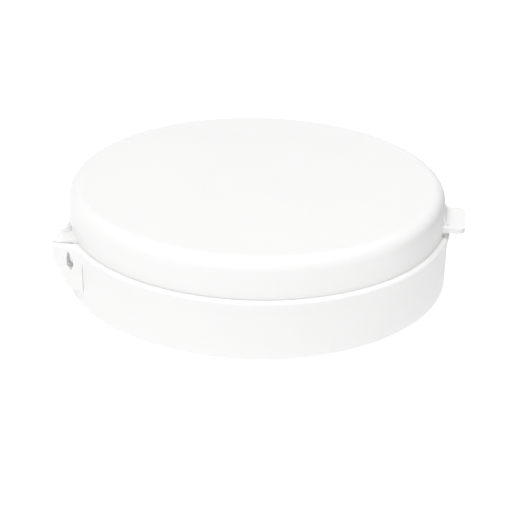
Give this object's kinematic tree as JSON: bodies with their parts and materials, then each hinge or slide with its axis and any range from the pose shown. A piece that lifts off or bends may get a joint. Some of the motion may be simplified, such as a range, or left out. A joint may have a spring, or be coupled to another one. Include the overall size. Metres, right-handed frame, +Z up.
{
  "type": "pill crusher",
  "caption": "Shallow round hinged case with a front thumb tab, holding a ridged anvil, a ridged crusher plate in the lid and a powder cup between them.",
  "frame": {"origin": "centre of the underside, on the face of the non-slip pad that the case stands on", "axes": "+Z up through the lid, +Y from the thumb tab to the hinge, +X along the hinge axis"},
  "size_m": [0.08, 0.0825, 0.0199],
  "materials": {
    "case_white": "satin moulded polypropylene with a very fine texture",
    "cup_plastic": "smooth white hard plastic",
    "tooth_plastic": "hard pale grey plastic, satin",
    "pad_rubber": "matt pale grey elastomer",
    "seal_silicone": "translucent silicone, satin",
    "steel": "turned stainless steel"
  },
  "bodies": {
    "base": {"base_shell": "case_white", "non_slip_pad": "pad_rubber", "powder_cup": "cup_plastic", "seal_ring": "seal_silicone", "anvil_plate": "tooth_plastic", "anvil_screws": "steel", "hinge_pin_left": "steel", "hinge_pin_right": "steel"},
    "lid": {"lid_shell": "case_white", "crusher_carrier": "cup_plastic", "crusher_plate": "tooth_plastic", "crusher_screws": "steel"}
  },
  "joints": [
    {"name": "lid_hinge", "type": "hinge", "parent": "base", "child": "lid", "pos_m": [0, 0.0363, 0.0109], "axis": [-1, 0, 0], "range_deg": [0, 100]}
  ]
}
